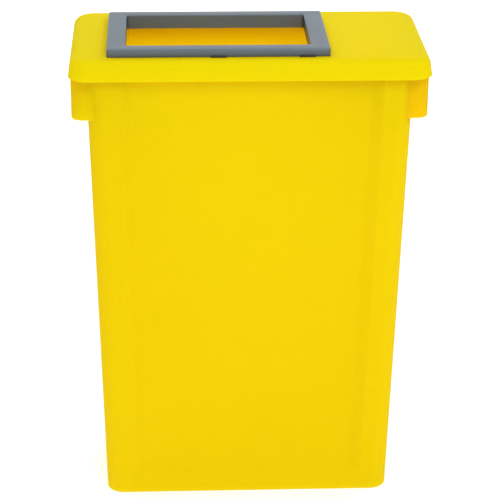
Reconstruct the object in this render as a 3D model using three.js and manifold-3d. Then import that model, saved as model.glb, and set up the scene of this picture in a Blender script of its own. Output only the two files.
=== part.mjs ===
// A tall, slim waste bin for infectious and clinical waste, in millimetres, +Z up.
// The origin is on the floor under the middle of the bin. The long front faces -Y.
// Three mouldings come apart by hand: the bin body, the lid that lifts off it,
// and the grey aperture frame that unclips from the lid.
import * as THREE from "three";
import { mergeVertices } from "three/addons/utils/BufferGeometryUtils.js";
import Module from "manifold-3d";

const wasm = await Module();
wasm.setup();

// ---------------------------------------------------------------- driving dimensions

const LID_LENGTH = 512; // along X, at the top of the lid
const LID_DEPTH = 256; // along Y, at the top of the lid
const LID_TOP = 710; // height of the lid's flat top above the floor
const LID_LIP = 28; // height of the lip that hangs over the rim
const LID_FLARE = 4; // how far the lip spreads outwards from top to bottom
const LID_CORNER = 30; // corner radius seen from above
const LID_EDGE = 11; // radius of the rounded top edge
const LID_WALL = 3.4;

const BODY_HALF_LENGTH = 235; // outside of the tub just under the lid
const BODY_HALF_DEPTH = 118;
const BODY_CORNER = 26;
const BODY_WALL = 3;
const FLOOR_THICKNESS = 4;
const BASE_SHRINK = 17; // how much smaller each side is at the floor
const BASE_EDGE = 12; // radius round the bottom edge
const FOOT_HEIGHT = 34; // plain band below the recessed panels

const PANEL_HALF_LENGTH = 176; // flat of the recessed panel, just under the lid
const PANEL_STEP = 15; // width of the sloping step beside the panel
const PANEL_DEPTH = 7; // how deep the panel is set in

const RIM_GAP = 0.5; // between the rim and the lid resting on it
const RIM_CLEARANCE = 1.6; // between the rim's edge and the inside of the lip
const RIM_DROP = 14; // height of the rim's turned-down edge
const RIM_WALL = 2.6;
const RIM_EDGE = 6; // rounding of the rim's upper edge

const HANDLE_HALF_LENGTH = 257; // outside of the handle skirts
const HANDLE_HALF_DEPTH = 111;
const HANDLE_CORNER = 18;
const HANDLE_TOP = 680.4;
const HANDLE_BOTTOM = 618;
const HANDLE_WALL = 3;
const HANDLE_FOOT_RADIUS = 3; // rounding of the skirt's lower outer corners

const APERTURE_LENGTH = 264; // clear opening of the aperture frame
const APERTURE_DEPTH = 149.5;
const APERTURE_CENTRE = new THREE.Vector2(-45.5, -11.2); // off to one end and to the front
const APERTURE_CORNER = 4;
const FRAME_BAR_X = 27; // width of the frame's bars at its two ends
const FRAME_BAR_Y = 20.5; // width of the bars along the front and back
const FRAME_HEIGHT = 12; // how far the frame stands above the lid
const FRAME_CORNER = 4;
const FRAME_EDGE = 1.8; // rounding of the frame's top edges
const FRAME_WALL = 3;
const FRAME_GAP = 0.3; // between the frame and the lid it rests on
const COLLAR_REACH = 5; // how far the collar hangs below the lid's plate
const COLLAR_CLEARANCE = 0.8; // round the collar in the lid's cut-out

const CLIP_WIDTH = 22.5; // snap hooks under the frame's front and back bars
const CLIP_PITCH = 126.5;
const CLIP_STEM = 2.4;
const CLIP_BARB = 1.4;
const CLIP_BARB_HEIGHT = 5;
const CLIP_REACH = 9; // how far a hook hangs below the lid's plate
const CLIP_INSET = 1; // between a barb and the inside of the frame's rim
const CLIP_SHOULDER = 1; // height of the slope that ends the barb at the top
const CLIP_SLOT_MARGIN = 0.7;
const LUG_REACH = 3.2; // release lugs that show in front of the frame
const LUG_THICKNESS = 2.2;

const CORNER_STEPS = 6; // straight steps in each rounded corner
const OVERLAP = 1; // how far joined pieces run into each other, and cutting blocks past the cut

// ---------------------------------------------------------------- derived dimensions

const LIP_BOTTOM = LID_TOP - LID_LIP;
const PLATE_UNDERSIDE = LID_TOP - LID_WALL;
const RIM_TOP = PLATE_UNDERSIDE - RIM_GAP;
const FRAME_BOTTOM = LID_TOP + FRAME_GAP;
const FRAME_TOP = LID_TOP + FRAME_HEIGHT;
const COLLAR_BOTTOM = PLATE_UNDERSIDE - COLLAR_REACH;

// ---------------------------------------------------------------- outlines

// A rectangle with round corners, seen from above.
function roundedRectangle(halfX, halfY, radius, centre = new THREE.Vector2()) {
  const shape = new THREE.Shape();
  const x = halfX - radius;
  const y = halfY - radius;
  const quarter = Math.PI / 2;
  shape.absarc(centre.x + x, centre.y - y, radius, -quarter, 0);
  shape.absarc(centre.x + x, centre.y + y, radius, 0, quarter);
  shape.absarc(centre.x - x, centre.y + y, radius, quarter, 2 * quarter);
  shape.absarc(centre.x - x, centre.y - y, radius, 2 * quarter, 3 * quarter);
  return shape;
}

// The tub's outline: round corners, and a shallow panel set into the front and the back.
// inset moves the whole outline inwards, for the inside of the wall.
function tubOutline(inset) {
  const halfX = BODY_HALF_LENGTH - inset;
  const halfY = BODY_HALF_DEPTH - inset;
  const radius = BODY_CORNER - inset;
  const flat = PANEL_HALF_LENGTH;
  const step = PANEL_HALF_LENGTH + PANEL_STEP;
  const quarter = Math.PI / 2;
  const shape = new THREE.Shape();
  shape.moveTo(-flat, PANEL_DEPTH - halfY);
  shape.lineTo(flat, PANEL_DEPTH - halfY);
  shape.lineTo(step, -halfY);
  shape.absarc(halfX - radius, radius - halfY, radius, -quarter, 0);
  shape.absarc(halfX - radius, halfY - radius, radius, 0, quarter);
  shape.lineTo(step, halfY);
  shape.lineTo(flat, halfY - PANEL_DEPTH);
  shape.lineTo(-flat, halfY - PANEL_DEPTH);
  shape.lineTo(-step, halfY);
  shape.absarc(radius - halfX, halfY - radius, radius, quarter, 2 * quarter);
  shape.absarc(radius - halfX, radius - halfY, radius, 2 * quarter, 3 * quarter);
  shape.lineTo(-step, -halfY);
  return shape;
}

// ---------------------------------------------------------------- solids

// Turns a closed geometry into a solid that can be cut and joined.
function toSolid(geometry) {
  const bare = geometry.clone();
  bare.deleteAttribute("normal");
  bare.deleteAttribute("uv");
  const merged = mergeVertices(bare, 1e-4);
  const mesh = new wasm.Mesh({
    numProp: 3,
    vertProperties: new Float32Array(merged.attributes.position.array),
    triVerts: new Uint32Array(merged.index.array),
  });
  return new wasm.Manifold(mesh);
}

// Turns a solid back into a geometry with flat-shaded faces.
function toGeometry(solid) {
  const { vertProperties, triVerts } = solid.getMesh();
  const geometry = new THREE.BufferGeometry();
  geometry.setAttribute("position", new THREE.BufferAttribute(vertProperties, 3));
  geometry.setIndex(new THREE.BufferAttribute(triVerts, 1));
  const flat = geometry.toNonIndexed();
  flat.computeVertexNormals();
  return flat;
}

// An upright prism of an outline between two heights.
function prism(shape, bottom, top) {
  const geometry = new THREE.ExtrudeGeometry(shape, {
    depth: top - bottom,
    bevelEnabled: false,
    curveSegments: CORNER_STEPS,
  });
  return geometry.translate(0, 0, bottom);
}

// A prism whose top and bottom edges are rounded inwards by radius.
function softPrism(shape, bottom, top, radius, steps = 3) {
  const geometry = new THREE.ExtrudeGeometry(shape, {
    depth: top - bottom - 2 * radius,
    bevelThickness: radius,
    bevelSize: radius,
    bevelOffset: -radius,
    bevelSegments: steps,
    curveSegments: CORNER_STEPS,
  });
  return geometry.translate(0, 0, bottom + radius);
}

function box(low, high) {
  const size = new THREE.Vector3().subVectors(high, low);
  const middle = new THREE.Vector3().addVectors(low, high).multiplyScalar(0.5);
  return new THREE.BoxGeometry(size.x, size.y, size.z).translate(...middle);
}

// Moves every side inwards by an amount that depends on height, so walls keep their thickness.
function lean(geometry, inwardsAt) {
  const position = geometry.attributes.position;
  for (let i = 0; i < position.count; i += 1) {
    const inwards = inwardsAt(position.getZ(i));
    position.setX(i, position.getX(i) - Math.sign(position.getX(i)) * inwards);
    position.setY(i, position.getY(i) - Math.sign(position.getY(i)) * inwards);
  }
  return geometry;
}

const tubTaper = (z) => (BASE_SHRINK * (LIP_BOTTOM - z)) / LIP_BOTTOM;
const lipFlare = (z) => (-LID_FLARE * (LID_TOP - z)) / LID_LIP;

// ---------------------------------------------------------------- bin body

function tub() {
  const wall = toSolid(lean(prism(tubOutline(0), BASE_EDGE, RIM_TOP), tubTaper));
  const footOutline = roundedRectangle(BODY_HALF_LENGTH, BODY_HALF_DEPTH, BODY_CORNER);
  const foot = toSolid(lean(softPrism(footOutline, 0, FOOT_HEIGHT, BASE_EDGE), tubTaper));
  return wall.add(foot);
}

// The space inside the walls, open at the top.
function tubInside() {
  const inside = prism(tubOutline(BODY_WALL), FLOOR_THICKNESS, RIM_TOP + OVERLAP);
  return toSolid(lean(inside, tubTaper));
}

// The shelf round the mouth with its turned-down edge, which carries the lid.
function rim() {
  const edge = LID_WALL + RIM_CLEARANCE;
  const halfX = LID_LENGTH / 2 - edge;
  const halfY = LID_DEPTH / 2 - edge;
  const radius = LID_CORNER - edge;
  const outline = roundedRectangle(halfX, halfY, radius);
  const low = RIM_TOP - RIM_DROP;
  const tall = toSolid(softPrism(outline, low - RIM_EDGE - OVERLAP, RIM_TOP, RIM_EDGE));
  const high = new THREE.Vector3(LID_LENGTH, LID_DEPTH, RIM_TOP + OVERLAP);
  const aboveLow = toSolid(box(new THREE.Vector3(-LID_LENGTH, -LID_DEPTH, low), high));
  const underside = roundedRectangle(halfX - RIM_WALL, halfY - RIM_WALL, radius - RIM_WALL);
  const hollow = prism(underside, low - OVERLAP, RIM_TOP - BODY_WALL);
  return tall.intersect(aboveLow).subtract(toSolid(hollow));
}

// One finger grip: a skirt that starts from the tub's rounded corners and hangs outside
// the end wall, closed by a shelf above and open below. side is -1 for the left end and
// 1 for the right.
function handle(side) {
  const skirtOutline = roundedRectangle(HANDLE_HALF_LENGTH, HANDLE_HALF_DEPTH, HANDLE_CORNER);
  const skirt = toSolid(prism(skirtOutline, HANDLE_BOTTOM, HANDLE_TOP));
  const pocketOutline = roundedRectangle(
    HANDLE_HALF_LENGTH - HANDLE_WALL,
    HANDLE_HALF_DEPTH - HANDLE_WALL,
    HANDLE_CORNER - HANDLE_WALL,
  );
  const pocket = prism(pocketOutline, HANDLE_BOTTOM - OVERLAP, HANDLE_TOP - HANDLE_WALL);
  const hollow = skirt.subtract(toSolid(pocket));
  return hollow.intersect(endBlock(side)).intersect(roundedFoot(side));
}

// A block that keeps only what lies at one end of the bin, past the start of its round corners.
function endBlock(side) {
  const near = side * (BODY_HALF_LENGTH - BODY_CORNER);
  const far = side * (HANDLE_HALF_LENGTH + OVERLAP);
  const deep = HANDLE_HALF_DEPTH + OVERLAP;
  const low = new THREE.Vector3(Math.min(near, far), -deep, HANDLE_BOTTOM - OVERLAP);
  const high = new THREE.Vector3(Math.max(near, far), deep, HANDLE_TOP + OVERLAP);
  return toSolid(box(low, high));
}

// A block whose lower outer edge is rounded, which trims the skirt's lower corners.
function roundedFoot(side) {
  const outline = new THREE.Shape();
  const reach = HANDLE_HALF_LENGTH;
  const radius = HANDLE_FOOT_RADIUS;
  outline.moveTo(0, HANDLE_BOTTOM);
  outline.absarc(reach - radius, HANDLE_BOTTOM + radius, radius, -Math.PI / 2, 0);
  outline.lineTo(reach, HANDLE_TOP + OVERLAP);
  outline.lineTo(0, HANDLE_TOP + OVERLAP);
  const block = new THREE.ExtrudeGeometry(outline, {
    depth: 2 * (HANDLE_HALF_DEPTH + OVERLAP),
    bevelEnabled: false,
    curveSegments: CORNER_STEPS,
  });
  block.rotateX(Math.PI / 2).translate(0, HANDLE_HALF_DEPTH + OVERLAP, 0);
  if (side < 0) block.rotateZ(Math.PI);
  return toSolid(block);
}

function binBody() {
  const outside = tub().add(rim()).add(handle(-1)).add(handle(1));
  return outside.subtract(tubInside());
}

// ---------------------------------------------------------------- aperture frame

const frameHalfX = APERTURE_LENGTH / 2 + FRAME_BAR_X;
const frameHalfY = APERTURE_DEPTH / 2 + FRAME_BAR_Y;

// An outline round the aperture, grown outwards by margin.
function apertureOutline(margin, radius = APERTURE_CORNER + margin) {
  const halfX = APERTURE_LENGTH / 2 + margin;
  const halfY = APERTURE_DEPTH / 2 + margin;
  return roundedRectangle(halfX, halfY, radius, APERTURE_CENTRE);
}

// The middle of each snap hook, front and back.
function clipPlaces() {
  const fromCentre = frameHalfY - FRAME_WALL - CLIP_BARB - CLIP_STEM / 2 - CLIP_INSET;
  const places = [];
  for (const side of [-1, 1]) {
    for (const column of [-1, 0, 1]) {
      const x = APERTURE_CENTRE.x + column * CLIP_PITCH;
      const y = APERTURE_CENTRE.y + side * fromCentre;
      places.push({ x, y, side });
    }
  }
  return places;
}

// A straight stem with a wedge-shaped barb at its lower end, facing outwards.
function clip({ x, y, side }) {
  const low = PLATE_UNDERSIDE - CLIP_REACH;
  const outline = new THREE.Shape();
  outline.moveTo(-CLIP_STEM / 2, low);
  outline.lineTo(CLIP_STEM / 2, low);
  outline.lineTo(CLIP_STEM / 2 + CLIP_BARB, low + CLIP_BARB_HEIGHT);
  outline.lineTo(CLIP_STEM / 2, low + CLIP_BARB_HEIGHT + CLIP_SHOULDER);
  outline.lineTo(CLIP_STEM / 2, FRAME_TOP - FRAME_WALL + OVERLAP);
  outline.lineTo(-CLIP_STEM / 2, FRAME_TOP - FRAME_WALL + OVERLAP);
  const stem = new THREE.ExtrudeGeometry(outline, { depth: CLIP_WIDTH, bevelEnabled: false });
  stem.rotateX(Math.PI / 2).rotateZ((side * Math.PI) / 2);
  return toSolid(stem.translate(x - (side * CLIP_WIDTH) / 2, y, 0));
}

// A flat lug at the foot of the front bar, by which a hook is found and released.
function lug(column) {
  const x = APERTURE_CENTRE.x + column * CLIP_PITCH;
  const front = APERTURE_CENTRE.y - frameHalfY;
  const low = new THREE.Vector3(x - CLIP_WIDTH / 2, front - LUG_REACH, FRAME_BOTTOM);
  const high = new THREE.Vector3(x + CLIP_WIDTH / 2, front + OVERLAP, FRAME_BOTTOM + LUG_THICKNESS);
  return toSolid(box(low, high));
}

function apertureFrame() {
  const outline = roundedRectangle(frameHalfX, frameHalfY, FRAME_CORNER, APERTURE_CENTRE);
  const below = FRAME_BOTTOM - FRAME_EDGE - OVERLAP;
  const block = toSolid(softPrism(outline, below, FRAME_TOP, FRAME_EDGE, 2));
  const keep = new THREE.Vector3(LID_LENGTH, LID_DEPTH, FRAME_TOP + OVERLAP);
  const aboveLid = toSolid(box(new THREE.Vector3(-LID_LENGTH, -LID_DEPTH, FRAME_BOTTOM), keep));
  const cap = block.intersect(aboveLid);
  const hollowOutline = roundedRectangle(
    frameHalfX - FRAME_WALL,
    frameHalfY - FRAME_WALL,
    FRAME_CORNER - FRAME_WALL,
    APERTURE_CENTRE,
  );
  const hollow = toSolid(prism(hollowOutline, FRAME_BOTTOM - OVERLAP, FRAME_TOP - FRAME_WALL));
  const collar = toSolid(prism(apertureOutline(FRAME_WALL), COLLAR_BOTTOM, FRAME_TOP - OVERLAP));
  const clear = prism(apertureOutline(0), COLLAR_BOTTOM - OVERLAP, FRAME_TOP + OVERLAP);
  const opening = toSolid(clear);
  let frame = cap.subtract(hollow).add(collar).subtract(opening);
  for (const place of clipPlaces()) frame = frame.add(clip(place));
  for (const column of [0, 1]) frame = frame.add(lug(column));
  return frame;
}

// ---------------------------------------------------------------- lid

// The slot in the lid that one snap hook passes through.
function clipSlot({ x, y, side }) {
  const halfX = CLIP_WIDTH / 2 + CLIP_SLOT_MARGIN;
  const inner = y - side * (CLIP_STEM / 2 + CLIP_SLOT_MARGIN);
  const outer = y + side * (CLIP_STEM / 2 + CLIP_BARB + CLIP_SLOT_MARGIN);
  const low = new THREE.Vector3(x - halfX, Math.min(inner, outer), PLATE_UNDERSIDE - OVERLAP);
  const high = new THREE.Vector3(x + halfX, Math.max(inner, outer), LID_TOP + OVERLAP);
  return toSolid(box(low, high));
}

function lid() {
  const outline = roundedRectangle(LID_LENGTH / 2, LID_DEPTH / 2, LID_CORNER);
  const tall = softPrism(outline, LIP_BOTTOM - LID_EDGE - OVERLAP, LID_TOP, LID_EDGE, 4);
  const block = toSolid(lean(tall, lipFlare));
  const high = new THREE.Vector3(LID_LENGTH, LID_DEPTH, LID_TOP + OVERLAP);
  const aboveLip = toSolid(box(new THREE.Vector3(-LID_LENGTH, -LID_DEPTH, LIP_BOTTOM), high));
  const innerEdge = LID_EDGE - LID_WALL;
  const innerOutline = roundedRectangle(
    LID_LENGTH / 2 - LID_WALL,
    LID_DEPTH / 2 - LID_WALL,
    LID_CORNER - LID_WALL,
  );
  const inside = softPrism(innerOutline, LIP_BOTTOM - LID_EDGE, PLATE_UNDERSIDE, innerEdge, 4);
  const cutOut = prism(
    apertureOutline(FRAME_WALL + COLLAR_CLEARANCE),
    PLATE_UNDERSIDE - OVERLAP,
    LID_TOP + OVERLAP,
  );
  let shell = block.intersect(aboveLip).subtract(toSolid(lean(inside, lipFlare)));
  shell = shell.subtract(toSolid(cutOut));
  for (const place of clipPlaces()) shell = shell.subtract(clipSlot(place));
  return shell;
}

// ---------------------------------------------------------------- assembly

const yellow = { color: 0xf4d60e, roughness: 0.42, metalness: 0 };
const grey = { color: 0x6c747b, roughness: 0.5, metalness: 0 };

function moulding(name, solid, finish) {
  const mesh = new THREE.Mesh(toGeometry(solid), new THREE.MeshStandardMaterial(finish));
  mesh.name = name;
  return mesh;
}

const bin = new THREE.Group();
bin.add(moulding("bin_body", binBody(), yellow));
bin.add(moulding("lid", lid(), yellow));
bin.add(moulding("aperture_frame", apertureFrame(), grey));

export default bin;
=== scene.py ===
"""A tall slim waste bin for infectious waste: yellow body, lift-off yellow lid, grey aperture frame.

Every length is in metres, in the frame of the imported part: +Z is up, the long front faces -Y,
and the origin is on the floor under the middle of the bin.
"""

import logging
import math
from collections.abc import Callable, Iterable
from dataclasses import dataclass, field
from enum import Enum

import bmesh
import bpy
from bmesh.types import BMEdge, BMesh, BMFace, BMVert
from mathutils import Matrix, Vector


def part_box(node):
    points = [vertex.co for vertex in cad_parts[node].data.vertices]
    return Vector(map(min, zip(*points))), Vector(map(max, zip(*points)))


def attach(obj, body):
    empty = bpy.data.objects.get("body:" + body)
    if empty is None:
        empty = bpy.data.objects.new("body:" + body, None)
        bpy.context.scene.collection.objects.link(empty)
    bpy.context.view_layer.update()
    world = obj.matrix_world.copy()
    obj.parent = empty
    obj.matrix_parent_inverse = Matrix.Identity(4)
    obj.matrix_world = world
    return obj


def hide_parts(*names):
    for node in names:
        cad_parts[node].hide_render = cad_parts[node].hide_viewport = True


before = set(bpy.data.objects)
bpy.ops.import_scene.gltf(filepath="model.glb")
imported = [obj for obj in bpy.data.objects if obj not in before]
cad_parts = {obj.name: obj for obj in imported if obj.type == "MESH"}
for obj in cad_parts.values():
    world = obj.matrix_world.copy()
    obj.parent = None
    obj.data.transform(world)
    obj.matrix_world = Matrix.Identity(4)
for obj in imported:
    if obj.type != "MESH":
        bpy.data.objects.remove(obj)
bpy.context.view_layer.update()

LOG = logging.getLogger("waste_bin")
FUSE = 1e-6
LEVEL = 0.99
# Name of the vertex attribute that paints shade and shadow into a moulding's colour.
PAINTED_SHADE = "painted_shade"


# ---------------------------------------------------------------------------- shader tools


class Wire:
    """A shader socket that can be used in Python sums."""

    def __init__(self, bench: "Bench", socket: bpy.types.NodeSocket) -> None:
        """Keeps the socket and the bench that its nodes are made on.

        Args:
            bench: The node maker of the material.
            socket: The output socket that carries the value.
        """
        self.bench = bench
        self.socket = socket

    def _maths(self, operation: str, first: "Wire | float", second: "Wire | float") -> "Wire":
        """Adds one Math node.

        Args:
            operation: The Math node's operation.
            first: The left value or wire.
            second: The right value or wire.

        Returns:
            The node's result.
        """
        return self.bench.node("ShaderNodeMath", {"operation": operation}, {0: first, 1: second})

    def __add__(self, other: "Wire | float") -> "Wire":
        """Adds a value or wire.

        Args:
            other: The other value or wire.

        Returns:
            The sum.
        """
        return self._maths("ADD", self, other)

    __radd__ = __add__

    def __mul__(self, other: "Wire | float") -> "Wire":
        """Multiplies by a value or wire.

        Args:
            other: The other value or wire.

        Returns:
            The product.
        """
        return self._maths("MULTIPLY", self, other)

    __rmul__ = __mul__

    def __sub__(self, other: "Wire | float") -> "Wire":
        """Subtracts a value or wire.

        Args:
            other: The other value or wire.

        Returns:
            The difference.
        """
        return self._maths("SUBTRACT", self, other)

    def __rsub__(self, other: "Wire | float") -> "Wire":
        """Is subtracted from a value or wire.

        Args:
            other: The other value or wire.

        Returns:
            The difference.
        """
        return self._maths("SUBTRACT", other, self)

    def between(self, low: float, high: float) -> "Wire":
        """Maps low..high smoothly to 0..1.

        Args:
            low: The value that gives 0.
            high: The value that gives 1.

        Returns:
            The mapped wire.
        """
        settings = {"interpolation_type": "SMOOTHSTEP"}
        return self.bench.node("ShaderNodeMapRange", settings, {0: self, 1: low, 2: high})


@dataclass(frozen=True)
class Noise:
    """A grey noise over an object: cells per metre, octaves, weight of the fine octaves, extra scale."""

    scale: float
    detail: float
    roughness: float
    stretch: tuple[float, float, float] = (1.0, 1.0, 1.0)


CLOUDS = Noise(3.2, 3.0, 0.5)
FLOW_MARKS = Noise(9.0, 2.0, 0.5, (1.0, 1.0, 0.22))
RUBBING = Noise(38.0, 6.0, 0.62)
SCRATCHES = Noise(26.0, 2.0, 0.5, (9.0, 9.0, 0.35))
SCRATCH_PATCHES = Noise(5.0, 2.0, 0.5, (1.0, 1.4, 1.0))
MOULD_GRAIN = Noise(1500.0, 2.0, 0.55)
SINK_MARKS = Noise(16.0, 2.0, 0.4)
FLOOR_CLOUDS = Noise(2.0, 2.0, 0.5)


class Bench:
    """Makes the nodes of one material."""

    def __init__(self, name: str) -> None:
        """Starts an empty node material.

        Args:
            name: The material's name.
        """
        self.material = bpy.data.materials.new(name)
        self.material.use_nodes = True
        self.tree = self.material.node_tree
        self.tree.nodes.clear()

    def node(
        self,
        kind: str,
        settings: dict[str, object] | None = None,
        inputs: dict[int | str, object] | None = None,
        output: int | str = 0,
    ) -> Wire:
        """Adds any node, sets it up and connects it.

        Args:
            kind: The node's type name.
            settings: Node properties, set before the sockets.
            inputs: Values or wires for the input sockets, by name or number.
            output: The output socket to hand back.

        Returns:
            The chosen output as a wire.
        """
        made = self.tree.nodes.new(kind)
        for key, value in (settings or {}).items():
            setattr(made, key, value)
        for key, value in (inputs or {}).items():
            if isinstance(value, Wire):
                self.tree.links.new(value.socket, made.inputs[key])
            else:
                made.inputs[key].default_value = value
        return Wire(self, made.outputs[output])

    def finish(self, shader: Wire) -> bpy.types.Material:
        """Puts a shader on the surface.

        Args:
            shader: The finished shader.

        Returns:
            The material.
        """
        end = self.tree.nodes.new("ShaderNodeOutputMaterial")
        self.tree.links.new(shader.socket, end.inputs["Surface"])
        return self.material

    def place(self, scale: tuple[float, float, float] = (1, 1, 1)) -> Wire:
        """Gives the object coordinates, scaled.

        Args:
            scale: Scale along X, Y and Z.

        Returns:
            The coordinates as a vector wire.
        """
        spot = self.node("ShaderNodeTexCoord", output="Object")
        return self.node("ShaderNodeMapping", None, {"Vector": spot, "Scale": scale})

    def noise(self, kind: Noise) -> Wire:
        """Gives a grey noise over the object.

        Args:
            kind: The noise to make.

        Returns:
            The noise, about 0.5 on average.
        """
        inputs = {
            "Vector": self.place(kind.stretch),
            "Scale": kind.scale,
            "Detail": kind.detail,
            "Roughness": kind.roughness,
        }
        return self.node("ShaderNodeTexNoise", None, inputs)

    def blend(self, factor: Wire | float, first: object, second: object) -> Wire:
        """Mixes two colours.

        Args:
            factor: 0 gives the first colour and 1 the second.
            first: A colour or wire.
            second: A colour or wire.

        Returns:
            The mixed colour.
        """
        settings = {"data_type": "RGBA"}
        return self.node("ShaderNodeMix", settings, {0: factor, 6: first, 7: second}, output=2)

    def bump(self, height: Wire, strength: float, distance: float, under: Wire | None = None) -> Wire:
        """Turns a height into a normal.

        Args:
            height: The height field.
            strength: 0 to 1.
            distance: The height of 1, in metres.
            under: A normal that this one adds to.

        Returns:
            The bumped normal.
        """
        inputs: dict[int | str, object] = {"Height": height, "Strength": strength, "Distance": distance}
        if under is not None:
            inputs["Normal"] = under
        return self.node("ShaderNodeBump", None, inputs)


class Grain(Enum):
    """How the mould's surface was finished. The value is the height of the grain in metres."""

    SATIN = 0.00003
    ERODED = 0.00006


@dataclass(frozen=True)
class Wear:
    """How much each kind of mark shows in a moulding's colour, roughness and relief."""

    cloud_tint: float = 0.55
    flow_tint: float = 0.25
    rub_tint: float = 0.10
    scratch_tint: float = 0.22
    flow_rough: float = 0.05
    rub_rough: float = 0.10
    scratch_rough: float = 0.12
    polish: float = 0.03
    grain_relief: float = 0.35
    sink_relief: float = 0.30
    sink_depth: float = 0.0006
    scratch_relief: float = 0.25
    scratch_depth: float = 0.00008


@dataclass(frozen=True)
class MouldedPlastic:
    """An injection-moulded polypropylene, satin, with faint flow marks, scuffs and scratches.

    The share `through` of the light goes through the wall, tinted by `glow`. The mesh's painted shade
    attribute turns the colour towards a painted shade colour, which stands in for shade and shadow.
    """

    name: str
    colour: tuple[float, float, float, float]
    shade: tuple[float, float, float, float]
    scuff: tuple[float, float, float, float]
    roughness: float
    grain: Grain
    sheen: float = 0.5
    # Colour that painted shade and shadow turn the surface towards.
    painted_shade_colour: tuple[float, float, float, float] = (0.012, 0.014, 0.016, 1)
    through: float = 0.0
    glow: tuple[float, float, float, float] = (1.0, 0.76, 0.05, 1)
    refraction: float = 1.49
    wear: Wear = Wear()

    def make(self) -> bpy.types.Material:
        """Builds the material.

        Returns:
            The finished material.
        """
        bench = Bench(self.name)
        wear = self.wear
        cloud = bench.noise(CLOUDS).between(0.35, 0.65)
        flow = bench.noise(FLOW_MARKS).between(0.3, 0.75)
        rub = bench.noise(RUBBING).between(0.62, 0.8)
        scratch = self._scratches(bench)
        base = bench.blend(cloud * wear.cloud_tint + flow * wear.flow_tint, self.colour, self.shade)
        base = bench.blend(rub * wear.rub_tint + scratch * wear.scratch_tint, base, self.scuff)
        # Painted shade: the attribute pulls the base colour towards the shade colour where shadow is
        # painted in.
        painted_shade = bench.node("ShaderNodeAttribute", {"attribute_name": PAINTED_SHADE}, None, "Fac")
        base = bench.blend(painted_shade, base, self.painted_shade_colour)
        rough = flow * wear.flow_rough + rub * wear.rub_rough + scratch * wear.scratch_rough
        rough = rough + (self.roughness - wear.polish)
        normal = bench.bump(bench.noise(MOULD_GRAIN), wear.grain_relief, self.grain.value)
        normal = bench.bump(bench.noise(SINK_MARKS), wear.sink_relief, wear.sink_depth, normal)
        normal = bench.bump(1.0 - scratch, wear.scratch_relief, wear.scratch_depth, normal)
        settings = {
            "Base Color": base,
            "Roughness": rough,
            "Normal": normal,
            "IOR": self.refraction,
            "Specular IOR Level": self.sheen,
        }
        shell = bench.node("ShaderNodeBsdfPrincipled", None, settings)
        if self.through == 0:
            return bench.finish(shell)
        lit = bench.node("ShaderNodeBsdfTranslucent", None, {"Color": self.glow, "Normal": normal})
        mixed = bench.node("ShaderNodeMixShader", None, {0: self.through, 1: shell, 2: lit})
        return bench.finish(mixed)

    def _scratches(self, bench: Bench) -> Wire:
        """Makes sparse, fine, upright scratches that come in patches.

        Args:
            bench: The material's node maker.

        Returns:
            1 on a scratch and 0 elsewhere.
        """
        thin = bench.noise(SCRATCHES).between(0.69, 0.74)
        patch = bench.noise(SCRATCH_PATCHES).between(0.5, 0.66)
        return thin * patch


# ---------------------------------------------------------------------------- mesh tools


def fillet(
    before: Vector, corner: Vector, after: Vector, radius: float, steps: int, inset: float
) -> list[Vector]:
    """Rounds one corner of an outline that runs anticlockwise.

    Args:
        before: The corner before this one.
        corner: The sharp corner.
        after: The corner after this one.
        radius: The radius of the round.
        steps: Straight steps in the round.
        inset: How far inside the outline the points lie.

    Returns:
        The points of the arc, in order.
    """
    back = (before - corner).normalized()
    onward = (after - corner).normalized()
    half = back.angle(onward) / 2
    turn = math.copysign(1.0, onward.cross(back))
    centre = corner + (back + onward).normalized() * (radius / math.sin(half))
    spoke = corner + back * (radius / math.tan(half)) - centre
    spoke *= (radius - turn * inset) / radius
    sweep = turn * (math.pi - 2 * half)
    return [centre + Matrix.Rotation(sweep * i / steps, 2) @ spoke for i in range(steps + 1)]


def rounded(corners: list[tuple[Vector, float]], steps: int, inset: float = 0.0) -> list[Vector]:
    """Rounds every corner of an outline.

    Args:
        corners: Each sharp corner and the radius of its round, anticlockwise.
        steps: Straight steps in each round.
        inset: How far inside the outline the points lie.

    Returns:
        The outline's points, in order.
    """
    found: list[Vector] = []
    for i, (corner, radius) in enumerate(corners):
        after = corners[(i + 1) % len(corners)][0]
        found += fillet(corners[i - 1][0], corner, after, radius, steps, inset)
    return found


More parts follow.
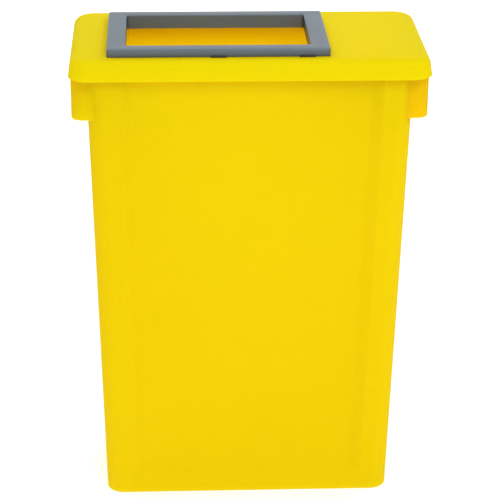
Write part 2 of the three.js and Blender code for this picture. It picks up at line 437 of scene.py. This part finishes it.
@dataclass(frozen=True)
class Plan:
    """A rectangle with round corners, seen from above."""

    half_x: float
    half_y: float
    radius: float
    centre_x: float = 0.0
    centre_y: float = 0.0

    def grown(self, by: float) -> "Plan":
        """Moves the outline outwards.

        Args:
            by: How far.

        Returns:
            The moved outline.
        """
        return Plan(self.half_x + by, self.half_y + by, self.radius + by, self.centre_x, self.centre_y)

    def level(self, z: float, steps: int) -> list[Vector]:
        """Gives the outline at a height, anticlockwise from the front left.

        Args:
            z: The height.
            steps: Straight steps in each corner.

        Returns:
            The points.
        """
        middle = Vector((self.centre_x, self.centre_y))
        signs = ((-1, -1), (1, -1), (1, 1), (-1, 1))
        sharp = [middle + Vector((sx * self.half_x, sy * self.half_y)) for sx, sy in signs]
        flat = rounded([(corner, self.radius) for corner in sharp], steps)
        return [Vector((*point, z)) for point in flat]

    def match(self, other: "Plan", x: float, y: float) -> tuple[float, float]:
        """Finds the point of another outline that stands at the same place round it.

        Args:
            other: The outline to move to.
            x: A point on this outline.
            y: A point on this outline.

        Returns:
            The matching point of the other outline.
        """
        dx = x - self.centre_x
        dy = y - self.centre_y
        core_x = self.half_x - self.radius
        core_y = self.half_y - self.radius
        new_core_x = other.half_x - other.radius
        new_core_y = other.half_y - other.radius
        out_x = max(abs(dx) - core_x, 0.0)
        out_y = max(abs(dy) - core_y, 0.0)
        if out_x > 0 and out_y > 0:
            new_x = new_core_x + other.radius * out_x / math.hypot(out_x, out_y)
            new_y = new_core_y + other.radius * out_y / math.hypot(out_x, out_y)
        elif out_x > 0:
            new_x = other.half_x
            new_y = abs(dy) * new_core_y / core_y
        else:
            new_x = abs(dx) * new_core_x / core_x
            new_y = other.half_y
        return (
            other.centre_x + math.copysign(new_x, dx),
            other.centre_y + math.copysign(new_y, dy),
        )


def soft_edges(bm: BMesh, edges: Iterable[BMEdge], radius: float, steps: int) -> None:
    """Rounds edges.

    Args:
        bm: The mesh.
        edges: The edges to round.
        radius: How far the round reaches on each side.
        steps: Straight steps in the round.
    """
    bmesh.ops.bevel(
        bm,
        geom=list(edges),
        offset=radius,
        offset_type="OFFSET",
        segments=steps,
        profile=0.5,
        affect="EDGES",
        clamp_overlap=True,
        material=-1,
    )


def draw_on(bm: BMesh, loop: list[BMEdge], place: Callable[[BMVert], Vector]) -> list[BMEdge]:
    """Extrudes a loop into a band of wall.

    Args:
        bm: The mesh.
        loop: The edges at the end of the wall so far.
        place: Gives the new place of each new point, which starts on its old one.

    Returns:
        The loop at the new end of the wall.
    """
    made = bmesh.ops.extrude_edge_only(bm, edges=loop)["geom"]
    verts = [item for item in made if isinstance(item, BMVert)]
    for vert, spot in [(vert, place(vert)) for vert in verts]:
        vert.co = spot
    fresh = set(verts)
    edges = {edge for vert in verts for edge in vert.link_edges}
    return [edge for edge in edges if edge.verts[0] in fresh and edge.verts[1] in fresh]


def loft(bm: BMesh, rings: list[list[Vector]]) -> list[list[BMEdge]]:
    """Draws a skin through rings that have the same number of points.

    Args:
        bm: The mesh.
        rings: The rings' points, in order.

    Returns:
        The loop of edges along each ring.
    """
    tag = bm.verts.layers.int.get("place") or bm.verts.layers.int.new("place")
    verts = [bm.verts.new(point) for point in rings[0]]
    for i, vert in enumerate(verts):
        vert[tag] = i
    loops = [[bm.edges.new((verts[i - 1], verts[i])) for i in range(len(verts))]]
    for points in rings[1:]:
        loops.append(draw_on(bm, loops[-1], lambda vert, points=points: points[vert[tag]]))
    return loops


def thicken(bm: BMesh, wall: float) -> None:
    """Turns a skin whose outside is drawn into a wall, with the thickness on the inside.

    Args:
        bm: The mesh, an open skin.
        wall: The wall's thickness.
    """
    bmesh.ops.remove_doubles(bm, verts=bm.verts, dist=FUSE)
    bmesh.ops.recalc_face_normals(bm, faces=bm.faces)
    middle = sum((face.calc_center_median() for face in bm.faces), Vector()) / len(bm.faces)
    outwards = sum((f.calc_center_median() - middle).dot(f.normal) * f.calc_area() for f in bm.faces)
    if outwards < 0:
        bmesh.ops.reverse_faces(bm, faces=bm.faces)
    bmesh.ops.solidify(bm, geom=bm.faces[:], thickness=wall)
    bmesh.ops.recalc_face_normals(bm, faces=bm.faces)


def add_block(bm: BMesh, low: Vector, high: Vector, soft: float, painted_shade: float) -> None:
    """Adds a small block with softened edges.

    Args:
        bm: The mesh.
        low: Its lowest corner.
        high: Its highest corner.
        soft: The radius of its edges.
        painted_shade: How much shade is painted on the block, 0 to 1.
    """
    layer = bm.verts.layers.float.get(PAINTED_SHADE) or bm.verts.layers.float.new(PAINTED_SHADE)
    size = high - low
    matrix = Matrix.Translation((low + high) / 2) @ Matrix.Diagonal((*size, 1))
    verts = bmesh.ops.create_cube(bm, size=1.0, matrix=matrix)["verts"]
    # Painted shade: every vertex of the block carries the same shade amount.
    for vert in verts:
        vert[layer] = painted_shade
    edges = {edge for vert in verts for edge in vert.link_edges}
    soft_edges(bm, edges, soft, 2)


@dataclass
class Moulding:
    """A piece made in one mould: its mesh, its finish and the body that it moves with."""

    name: str
    node: str
    body: str
    slot: str
    finish: MouldedPlastic
    edge: float = 0.0007
    edge_steps: int = 2
    edge_angle: float = math.radians(38)
    bm: BMesh = field(default_factory=bmesh.new, repr=False)

    def finish_off(self) -> bpy.types.Object:
        """Turns the mesh into an object with softened edges, and puts it on its body.

        Returns:
            The object.
        """
        mesh = bpy.data.meshes.new(self.name)
        for face in self.bm.faces:
            face.smooth = True
        self.bm.to_mesh(mesh)
        self.bm.free()
        piece = bpy.data.objects.new(self.name, mesh)
        bpy.context.scene.collection.objects.link(piece)
        soften = piece.modifiers.new("soft_edges", "BEVEL")
        soften.width = self.edge
        soften.segments = self.edge_steps
        soften.limit_method = "ANGLE"
        soften.angle_limit = self.edge_angle
        soften.harden_normals = True
        mesh.materials.append(self.finish.make())
        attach(piece, self.body)
        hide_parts(self.node)
        LOG.info("%s: %d faces", self.name, len(mesh.polygons))
        return piece


# ---------------------------------------------------------------------------- finishes

YELLOW_BODY = MouldedPlastic(
    name="yellow_body",
    colour=(0.822, 0.808, 0.003, 1),
    shade=(0.806, 0.778, 0.002, 1),
    scuff=(0.980, 0.840, 0.090, 1),
    roughness=0.46,
    grain=Grain.SATIN,
    sheen=0.04,
    # Orange of the painted shade under the lid's lip and on the grips.
    painted_shade_colour=(0.930, 0.590, 0.004, 1),
    through=0.54,
)
YELLOW_LID = MouldedPlastic(
    name="yellow_lid",
    colour=(0.830, 0.775, 0.003, 1),
    shade=(0.815, 0.750, 0.002, 1),
    scuff=(0.980, 0.850, 0.100, 1),
    roughness=0.44,
    grain=Grain.SATIN,
    sheen=0.02,
    through=0.40,
)
GREY_FRAME = MouldedPlastic(
    name="grey_frame",
    colour=(0.094, 0.126, 0.156, 1),
    shade=(0.080, 0.110, 0.138, 1),
    scuff=(0.300, 0.325, 0.350, 1),
    roughness=0.36,
    grain=Grain.ERODED,
    sheen=0.6,
)


# ---------------------------------------------------------------------------- bin body


@dataclass
class BinBody:
    """The tapered tub with its recessed panels, its rim and a finger grip at each end."""

    half_x: float = 0.235
    half_y: float = 0.118
    corner: float = 0.026
    wall: float = 0.003
    floor: float = 0.004
    mouth: float = 0.682
    shrink: float = 0.017
    base_edge: float = 0.012
    panel_half_x: float = 0.176
    panel_step: float = 0.015
    panel_depth: float = 0.007
    panel_low: float = 0.026
    panel_fade: float = 0.018
    least_depth: float = 0.02
    step_round: float = 0.007
    rim_plan: Plan = Plan(0.251, 0.123, 0.025)
    rim_drop: float = 0.014
    rim_wall: float = 0.0026
    rim_edge: float = 0.006
    grip_plan: Plan = Plan(0.257, 0.111, 0.018)
    grip_low: float = 0.618
    grip_high: float = 0.6804
    grip_foot: float = 0.003
    grip_root: float = 0.0023
    # How strongly painted shade turns the grips orange.
    grip_painted_shade: float = 0.5
    # Painted shadow under the lid's lip: how far down it fades and how strong it is.
    shade_reach: float = 0.016
    shade_tint: float = 0.9
    steps: int = 10
    base_steps: int = 6
    edge_steps: int = 5
    fade_rings: int = 6
    wall_rings: int = 8
    moulding: Moulding = field(
        default_factory=lambda: Moulding("bin_shell", "bin_body", "bin", "yellow_body", YELLOW_BODY)
    )

    def __post_init__(self) -> None:
        """Takes the rim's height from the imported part."""
        self.rim_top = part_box("bin_body")[1].z
        self.shade_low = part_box("lid")[0].z - self.shade_reach

    def build(self) -> bpy.types.Object:
        """Builds the whole moulding.

        Returns:
            The finished object.
        """
        bm = self.moulding.bm
        bm.verts.layers.float.new(PAINTED_SHADE)
        self._tub(bm)
        for side in (-1, 1):
            self._grip(bm, side)
        bmesh.ops.remove_doubles(bm, verts=bm.verts, dist=FUSE)
        bmesh.ops.recalc_face_normals(bm, faces=bm.faces)
        return self.moulding.finish_off()

    def _outline(self, inset: float, depth: float) -> list[Vector]:
        """Gives the tub's outline just under the lid.

        Args:
            inset: How far inside the outer skin the outline lies.
            depth: How deep the long sides' panels lie here.

        Returns:
            The outline's points.
        """
        flat = self.panel_half_x
        step = flat + self.panel_step
        front = [
            (Vector((-self.half_x, -self.half_y)), self.corner),
            (Vector((-step, -self.half_y)), self.step_round),
            (Vector((-flat, depth - self.half_y)), self.step_round),
            (Vector((flat, depth - self.half_y)), self.step_round),
            (Vector((step, -self.half_y)), self.step_round),
            (Vector((self.half_x, -self.half_y)), self.corner),
        ]
        return rounded(front + [(-point, radius) for point, radius in front], self.steps, inset)

    def _ring(self, z: float, inset: float = 0.0) -> list[Vector]:
        """Gives one level ring of the tapered wall.

        Args:
            z: The height.
            inset: How far inside the outer skin the ring lies.

        Returns:
            The ring's points.
        """
        share = min(max((z - self.panel_low) / self.panel_fade, self.least_depth), 1.0)
        depth = self.panel_depth * share * share * (3 - 2 * share)
        lean = self.shrink * (self.mouth - z) / self.mouth
        points = []
        for flat in self._outline(inset, depth):
            x = flat.x - math.copysign(lean, flat.x)
            y = flat.y - math.copysign(lean, flat.y)
            points.append(Vector((x, y, z)))
        return points

    def _rim_ring(self, z: float, inset: float) -> list[Vector]:
        """Gives one level ring of the rim, with its points opposite those of the tub.

        Args:
            z: The height.
            inset: How far inside the rim's outside the ring lies.

        Returns:
            The ring's points.
        """
        tub = Plan(self.half_x, self.half_y, self.corner)
        rim = self.rim_plan.grown(-inset)
        plain = self._outline(0.0, self.panel_depth * self.least_depth)
        return [Vector((*tub.match(rim, point.x, point.y), z)) for point in plain]

    def _tub(self, bm: BMesh) -> None:
        """Draws the tub's wall, from the floor up the outside, over the rim and down the inside.

        Args:
            bm: The mesh to draw in.
        """
        under = self.rim_top - self.wall
        low = self.rim_top - self.rim_drop
        outside = [self._ring(z) for z in self._levels(0.0, under)]
        rim = [
            self._rim_ring(under, self.rim_wall),
            self._rim_ring(low, self.rim_wall),
            self._rim_ring(low, 0.0),
            self._rim_ring(self.rim_top, 0.0),
        ]
        inside = [self._ring(z, self.wall) for z in reversed(self._levels(self.floor, self.rim_top))]
        loops = loft(bm, outside + rim + inside)
        rim_top_loop = loops[len(outside) + len(rim) - 1]
        self._shade(bm, loops[len(outside) - 1])
        for loop in (loops[0], loops[-1]):
            bmesh.ops.contextual_create(bm, geom=loop)
        soft_edges(bm, loops[0], self.base_edge, self.base_steps)
        soft_edges(bm, loops[-1], self.base_edge - self.wall, self.edge_steps)
        soft_edges(bm, rim_top_loop, self.rim_edge, self.edge_steps)
        bmesh.ops.recalc_face_normals(bm, faces=bm.faces)

    def _shade(self, bm: BMesh, loop: list[BMEdge]) -> None:
        """Paints the lid's shadow into the colour of the strip that lies under the lid's lip.

        Args:
            bm: The mesh.
            loop: The topmost ring of the outer wall.
        """
        painted_shade = bm.verts.layers.float.get(PAINTED_SHADE)
        for vert in {vert for edge in loop for vert in edge.verts}:
            vert[painted_shade] = self.shade_tint

    def _levels(self, low: float, high: float) -> list[float]:
        """Gives the heights of the rings, close together where the panel fades in.

        Args:
            low: The lowest ring's height.
            high: The highest ring's height.

        Returns:
            The heights, rising.
        """
        turns = self.fade_rings
        fade = [self.panel_low + self.panel_fade * i / turns for i in range(turns + 1)]
        rest = self.wall_rings
        straight = [fade[-1] + (high - fade[-1]) * i / rest for i in range(1, rest + 1)]
        return sorted([low, *fade, *straight, self.shade_low])

    def _grip(self, bm: BMesh, side: int) -> None:
        """Builds one finger grip: a skirt that grows out of the tub, closed above, open below.

        Args:
            bm: The mesh to build in.
            side: -1 for the left end and 1 for the right.
        """
        outer = self._grip_outline(side, 0.0)
        inner = self._grip_outline(side, self.wall)
        rings = [
            [Vector((point.x, point.y, self.grip_high - self.wall)) for point in inner],
            [Vector((point.x, point.y, self._foot(point.x))) for point in inner],
            [Vector((point.x, point.y, self._foot(point.x))) for point in outer],
            [Vector((point.x, point.y, self.grip_high)) for point in outer],
        ]
        # Painted shade: the whole grip is tinted orange as if it lay in the lid's shade.
        painted_shade = bm.verts.layers.float.get(PAINTED_SHADE)
        before = len(bm.verts)
        loops = loft(bm, rings)
        for vert in list(bm.verts)[before:]:
            vert[painted_shade] = self.grip_painted_shade
        for loop in (loops[0], loops[-1]):
            bmesh.ops.contextual_create(bm, geom=loop)

    def _grip_outline(self, side: int, inset: float) -> list[Vector]:
        """Gives a grip's outline: round the skirt and back along the middle of the tub's wall.

        Args:
            side: -1 for the left end and 1 for the right.
            inset: How far inside the skirt's outside the outline lies.

        Returns:
            The outline's points.
        """
        plan = self.grip_plan.grown(-inset)
        reach = plan.half_x - plan.radius - FUSE
        bend = [point.to_2d() for point in plan.level(0.0, self.steps) if point.x > reach]
        turns = 2 * self.steps
        rows = [plan.half_y * (1 - 2 * i / turns) for i in range(turns + 1)]
        root = [Vector((self._wall_x(y), y)) for y in rows]
        return [Vector((side * point.x, point.y)) for point in bend + root]

    def _wall_x(self, y: float) -> float:
        """Finds the middle of the tub's end wall beside a grip.

        Args:
            y: The place across the bin.

        Returns:
            Its X at the right end.
        """
        core_x = self.half_x - self.corner
        core_y = self.half_y - self.corner
        radius = self.corner - self.grip_root
        return core_x + math.sqrt(radius**2 - max(abs(y) - core_y, 0.0) ** 2)

    def _foot(self, x: float) -> float:
        """Finds the grip's lower edge, which curls up towards the end of the bin.

        Args:
            x: The place along the bin.

        Returns:
            The height of the edge.
        """
        radius = self.grip_foot
        out = min(max(abs(x) - self.grip_plan.half_x + radius, 0.0), radius)
        return self.grip_low + radius - math.sqrt(radius**2 - out**2)


# ---------------------------------------------------------------------------- aperture frame


@dataclass
class Clips:
    """The places of the snap hooks under the frame's front and back bars."""

    centre_x: float
    front_y: float
    back_y: float
    pitch: float = 0.1265
    width: float = 0.0225
    stem: float = 0.0024
    barb: float = 0.0014

    def places(self) -> list[tuple[float, float, int]]:
        """Lists the hooks.

        Returns:
            Each hook's X, Y and the side that its barb faces.
        """
        columns = [self.centre_x + step * self.pitch for step in (-1, 0, 1)]
        rows = ((self.front_y, -1), (self.back_y, 1))
        return [(x, y, side) for y, side in rows for x in columns]


@dataclass
class ApertureFrame:
    """The grey frame: four bars, a collar through the lid, hooks below and two lugs in front."""

    bar_x: float = 0.027
    bar_y: float = 0.0205
    corner: float = 0.004
    wall: float = 0.003
    top_edge: float = 0.0022
    inner_edge: float = 0.0012
    lug_reach: float = 0.0032
    lug_height: float = 0.0022
    # Painted shadow and shade: near-black lugs, a dark line at the frame's foot and darker end walls in
    # the aperture.
    lug_painted_shadow: float = 0.97
    foot_painted_shadow: float = 0.55
    side_painted_shade: float = 0.80
    collar_low: float = 0.7016
    steps: int = 6
    top_steps: int = 4
    inner_steps: int = 3
    barb_height: float = 0.005
    foot_gap: float = 0.0003
    lug_edge: float = 0.0004
    bite: float = 0.001
    moulding: Moulding = field(
        default_factory=lambda: Moulding(
            "frame_moulding", "aperture_frame", "frame", "grey_frame", GREY_FRAME
        )
    )

    def __post_init__(self) -> None:
        """Takes the frame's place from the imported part."""
        low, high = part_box("aperture_frame")
        self.hook_low = low.z
        self.top = high.z
        self.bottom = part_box("lid")[1].z + self.foot_gap
        self.front = low.y + self.lug_reach
        half_y = (high.y - self.front) / 2
        self.outer = Plan(
            (high.x - low.x) / 2, half_y, self.corner, (high.x + low.x) / 2, self.front + half_y
        )
        self.aperture = Plan(
            self.outer.half_x - self.bar_x,
            self.outer.half_y - self.bar_y,
            self.corner,
            self.outer.centre_x,
            self.outer.centre_y,
        )
        inset = half_y - self.wall - Clips.barb - Clips.stem / 2 - self.bite
        self.clips = Clips(self.outer.centre_x, self.outer.centre_y - inset, self.outer.centre_y + inset)

    def build(self) -> bpy.types.Object:
        """Builds the frame.

        Returns:
            The finished object.
        """
        bm = self.moulding.bm
        under = self.top - self.wall
        shell = self.outer.grown(-self.wall)
        collar = self.aperture.grown(self.wall)
        path = [
            (self.outer, self.bottom),
            (self.outer, self.top),
            (self.aperture, self.top),
            (self.aperture, self.top - 2 * self.inner_edge),
            (self.aperture, self.collar_low),
            (collar, self.collar_low),
            (collar, under),
            (shell, under),
            (shell, self.bottom),
            (self.outer, self.bottom),
        ]
        loops = loft(bm, [plan.level(z, self.steps) for plan, z in path])
        bmesh.ops.remove_doubles(bm, verts=bm.verts, dist=FUSE)
        # Painted shadow at the frame's foot, and painted shade on the aperture's end walls.
        painted_shade = bm.verts.layers.float.new(PAINTED_SHADE)
        for vert in bm.verts:
            if vert.co.z < self.bottom + self.bite:
                vert[painted_shade] = self.foot_painted_shadow
        collar_wall = loops[3] + loops[4]
        for vert in {vert for edge in collar_wall for vert in edge.verts}:
            vert[painted_shade] = self.side_painted_shade * self._sideways(vert.co.x)
        soft_edges(bm, loops[1], self.top_edge, self.top_steps)
        soft_edges(bm, loops[2], self.inner_edge, self.inner_steps)
        bmesh.ops.recalc_face_normals(bm, faces=bm.faces)
        for x, y, side in self.clips.places():
            self._hook(bm, x, y, side)
        self._lugs(bm)
        return self.moulding.finish_off()

    def _lugs(self, bm: BMesh) -> None:
        """Adds the two small lugs that stick out under the front bar, painted near-black as a painted
        shadow.

        Args:
            bm: The mesh.
        """
        half = self.clips.width / 2
        for x in (self.clips.centre_x, self.clips.centre_x + self.clips.pitch):
            low = Vector((x - half, self.front - self.lug_reach, self.bottom))
            high = Vector((x + half, self.front + self.bite, self.bottom + self.lug_height))
            add_block(bm, low, high, self.lug_edge, self.lug_painted_shadow)

    def _sideways(self, x: float) -> float:
        """Says how far round the aperture's corner a place is.

        Args:
            x: The place along the frame.

        Returns:
            0 on the long walls, rising round the corner to 1 on the end walls.
        """
        along = abs(x - self.aperture.centre_x) - self.aperture.half_x + self.aperture.radius
        return max(0.0, along) / self.aperture.radius

    def _hook(self, bm: BMesh, x: float, y: float, side: int) -> None:
        """Adds one snap hook.

        Args:
            bm: The mesh.
            x: The middle of the hook.
            y: The middle of its stem.
            side: The way its barb faces, -1 to the front and 1 to the back.
        """
        half = self.clips.stem / 2
        profile = [
            (-half, self.hook_low),
            (half, self.hook_low),
            (half + self.clips.barb, self.hook_low + self.barb_height),
            (half, self.hook_low + self.barb_height + self.bite),
            (half, self.top - self.wall + self.bite),
            (-half, self.top - self.wall + self.bite),
        ]
        left = x - self.clips.width / 2
        verts = [bm.verts.new((left, y + side * across, z)) for across, z in profile]
        face = bm.faces.new(verts)
        made = bmesh.ops.extrude_face_region(bm, geom=[face])["geom"]
        moved = [item for item in made if isinstance(item, BMVert)]
        bmesh.ops.translate(bm, vec=(self.clips.width, 0, 0), verts=moved)
        hook = {f for v in verts + moved for f in v.link_faces}
        bmesh.ops.recalc_face_normals(bm, faces=list(hook))


# ---------------------------------------------------------------------------- lid


@dataclass
class Lid:
    """The lift-off lid: a flat plate with a hanging lip, the cut-out and the slots for hooks."""

    aperture: Plan
    clips: Clips
    top_plan: Plan = Plan(0.256, 0.128, 0.030)
    flare: float = 0.004
    wall: float = 0.0034
    edge: float = 0.011
    collar_margin: float = 0.0038
    slot_margin: float = 0.0007
    slot_corner: float = 0.0004
    steps: int = 12
    edge_steps: int = 7
    hole_steps: int = 6
    slot_steps: int = 2
    moulding: Moulding = field(
        default_factory=lambda: Moulding("lid_moulding", "lid", "lid", "yellow_lid", YELLOW_LID)
    )

    def __post_init__(self) -> None:
        """Takes the lid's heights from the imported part."""
        low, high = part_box("lid")
        self.low = low.z
        self.high = high.z

    def build(self) -> bpy.types.Object:
        """Builds the lid.

        Returns:
            The finished object.
        """
        bm = self.moulding.bm
        top = self.top_plan
        lip = Plan(top.half_x + self.flare, top.half_y + self.flare, top.radius)
        rings = [lip.level(self.low, self.steps), top.level(self.high, self.steps)]
        top_loop = loft(bm, rings)[1]
        bmesh.ops.contextual_create(bm, geom=top_loop)
        soft_edges(bm, top_loop, self.edge, self.edge_steps)
        plate = max((face for face in bm.faces if abs(face.normal.z) > LEVEL), key=BMFace.calc_area)
        rim = list(plate.edges)
        bmesh.ops.delete(bm, geom=[plate], context="FACES_ONLY")
        holes = loft(bm, [self.aperture.grown(self.collar_margin).level(self.high, self.hole_steps)])[0]
        for x, y, side in self.clips.places():
            holes += loft(bm, [self._slot(x, y, side).level(self.high, self.slot_steps)])[0]
        bmesh.ops.triangle_fill(
            bm, edges=rim + holes, use_beauty=True, use_dissolve=False, normal=(0, 0, 1)
        )
        thicken(bm, self.wall)
        return self.moulding.finish_off()

    def _slot(self, x: float, y: float, side: int) -> Plan:
        """Draws the slot round one hook.

        Args:
            x: The middle of the hook.
            y: The middle of its stem.
            side: The way its barb faces, -1 to the front and 1 to the back.

        Returns:
            The slot's outline.
        """
        depth = self.clips.stem + self.clips.barb + 2 * self.slot_margin
        half_x = self.clips.width / 2 + self.slot_margin
        return Plan(half_x, depth / 2, self.slot_corner, x, y + side * self.clips.barb / 2)


# ---------------------------------------------------------------------------- studio


@dataclass(frozen=True)
class SoftBox:
    """A large soft lamp."""

    name: str
    place: tuple[float, float, float]
    aim: tuple[float, float, float]
    size: float
    power: float
    mirrored: bool = True

    def hang(self) -> None:
        """Adds the lamp to the scene."""
        data = bpy.data.lights.new(self.name, "AREA")
        data.shape = "SQUARE"
        data.size = self.size
        data.energy = self.power
        lamp = bpy.data.objects.new(self.name, data)
        lamp.location = self.place
        lamp.visible_glossy = self.mirrored
        towards = Vector(self.aim) - Vector(self.place)
        lamp.rotation_euler = towards.to_track_quat("-Z", "Y").to_euler()
        bpy.context.scene.collection.objects.link(lamp)


@dataclass
class Studio:
    """A pale floor, soft lamps and the camera."""

    camera_place: Vector = field(default_factory=lambda: Vector((-0.129, -2.7074, 1.5389)))
    tilt: float = 0.4083
    turn: float = 0.0499
    roll: float = 0.0083
    focal_mm: float = 138.24
    sensor_mm: float = 36.0
    floor_half: float = 40.0
    floor_glow: float = 0.40
    room_light: float = 0.90

    def build(self) -> None:
        """Sets up everything round the object."""
        self._floor()
        self._world()
        for lamp in (
            SoftBox("key", (1.0, -2.1, 2.6), (0, 0, 0.4), 1.1, 25.0),
            SoftBox("front", (-0.6, -3.2, 0.9), (0, 0, 0.35), 1.6, 3.0),
            SoftBox("top", (-0.6, 0.4, 3.0), (0, 0, 0.7), 1.8, 11.0, mirrored=False),
            SoftBox("back", (0.2, 2.4, 1.1), (0, 0, 0.6), 1.6, 24.0, mirrored=False),
        ):
            lamp.hang()
        self._camera()

    def _floor(self) -> None:
        """Lays the pale floor."""
        bm = bmesh.new()
        bmesh.ops.create_grid(bm, x_segments=1, y_segments=1, size=self.floor_half)
        mesh = bpy.data.meshes.new("floor")
        bm.to_mesh(mesh)
        bm.free()
        floor = bpy.data.objects.new("floor", mesh)
        bpy.context.scene.collection.objects.link(floor)
        bench = Bench("floor_paint")
        colour = bench.blend(bench.noise(FLOOR_CLOUDS), (0.80, 0.80, 0.80, 1), (0.82, 0.82, 0.82, 1))
        settings = {
            "Base Color": colour,
            "Roughness": 0.9,
            "Emission Color": (1.0, 1.0, 1.0, 1.0),
            "Emission Strength": self.floor_glow,
        }
        shader = bench.node("ShaderNodeBsdfPrincipled", None, settings)
        mesh.materials.append(bench.finish(shader))

    def _world(self) -> None:
        """Fills the room with even white light."""
        world = bpy.data.worlds.new("room")
        world.use_nodes = True
        background = world.node_tree.nodes["Background"]
        background.inputs["Color"].default_value = (1.0, 1.0, 1.0, 1.0)
        background.inputs["Strength"].default_value = self.room_light
        bpy.context.scene.world = world
        bpy.context.scene.view_settings.view_transform = "Standard"

    def _camera(self) -> None:
        """Places the camera in front of the bin, looking down at it."""
        forward = Vector(
            (
                math.sin(self.turn) * math.cos(self.tilt),
                math.cos(self.turn) * math.cos(self.tilt),
                -math.sin(self.tilt),
            )
        )
        level = Vector((math.cos(self.turn), -math.sin(self.turn), 0.0))
        upright = level.cross(forward)
        right = level * math.cos(self.roll) + upright * math.sin(self.roll)
        upward = upright * math.cos(self.roll) - level * math.sin(self.roll)
        axes = Matrix((right, upward, -forward)).transposed().to_4x4()
        data = bpy.data.cameras.new("camera")
        data.sensor_width = self.sensor_mm
        data.lens = self.focal_mm
        camera = bpy.data.objects.new("camera", data)
        camera.matrix_world = Matrix.Translation(self.camera_place) @ axes
        bpy.context.scene.collection.objects.link(camera)
        bpy.context.scene.camera = camera


def main() -> None:
    """Builds the bin piece by piece, then the studio."""
    logging.basicConfig(level=logging.INFO)
    BinBody().build()
    grey = ApertureFrame()
    grey.build()
    Lid(grey.aperture, grey.clips).build()
    Studio().build()


if __name__ == "__main__":
    main()
